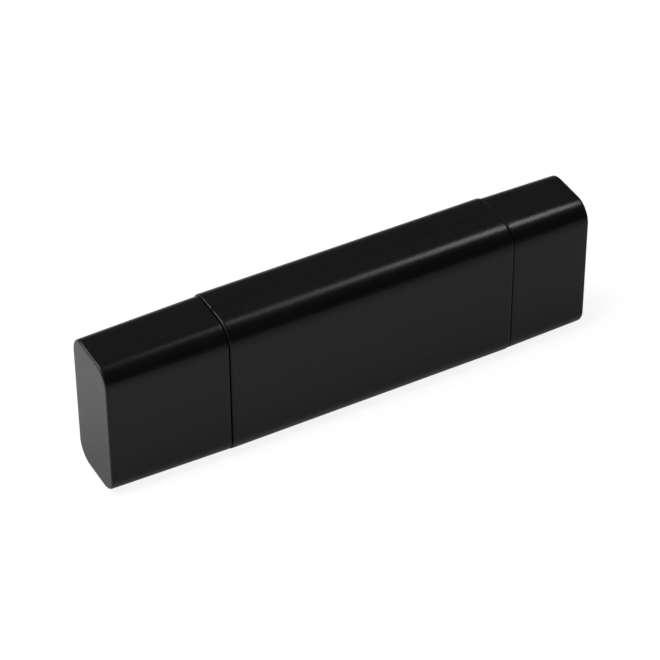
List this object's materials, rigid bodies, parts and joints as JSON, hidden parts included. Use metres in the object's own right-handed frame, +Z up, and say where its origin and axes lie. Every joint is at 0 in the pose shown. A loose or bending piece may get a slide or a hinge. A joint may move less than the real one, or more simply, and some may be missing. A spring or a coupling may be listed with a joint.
{
  "type": "usb flash drive",
  "caption": "Flat double-ended usb flash drive in a rounded black casing, with a long pull-off cap over a USB-A plug and a short one over a USB-C plug.",
  "frame": {"origin": "on the lower narrow side, under the middle of the closed drive", "axes": "+X along the drive towards the USB-C end, +Y through its thickness towards the back face, +Z up across its width as it stands on one narrow side"},
  "size_m": [0.066, 0.01, 0.02],
  "materials": {
    "casing_plastic": "satin",
    "plug_steel": "satin",
    "blade_plastic": "matte",
    "contact_gold": "polished",
    "board_laminate": "satin",
    "chip_resin": "matte",
    "tin_plate": "satin",
    "ceramic_tan": "matte",
    "ceramic_black": "matte",
    "ferrite": "matte"
  },
  "bodies": {
    "drive": {"front_shell": "casing_plastic", "back_shell": "casing_plastic", "usb_a_sleeve": "plug_steel", "usb_a_blade": "blade_plastic", "usb_a_rear_block": "blade_plastic", "usb_a_front_contacts": "contact_gold", "usb_a_rear_contacts": "contact_gold", "usb_c_sleeve": "plug_steel", "usb_c_insulator": "blade_plastic", "usb_c_rear_block": "blade_plastic", "usb_c_upper_contacts": "contact_gold", "usb_c_lower_contacts": "contact_gold", "usb_c_latch_plate": "plug_steel", "usb_c_ground_springs": "plug_steel", "circuit_board": "board_laminate", "flash_chip": "chip_resin", "flash_chip_leads": "tin_plate", "controller_chip": "chip_resin", "controller_chip_leads": "tin_plate", "port_switch_chip": "chip_resin", "voltage_regulator": "chip_resin", "power_inductor": "ferrite", "crystal": "tin_plate", "capacitors": "ceramic_tan", "resistors": "ceramic_black", "component_ends": "tin_plate"},
    "long_cap": {"usb_a_cap": "casing_plastic"},
    "short_cap": {"usb_c_cap": "casing_plastic"}
  },
  "joints": [
    {"name": "long_cap_pull", "type": "slide", "parent": "drive", "child": "long_cap", "axis": [-1, 0, 0], "range_m": [0, 0.02]},
    {"name": "short_cap_pull", "type": "slide", "parent": "drive", "child": "short_cap", "axis": [1, 0, 0], "range_m": [0, 0.014]}
  ]
}
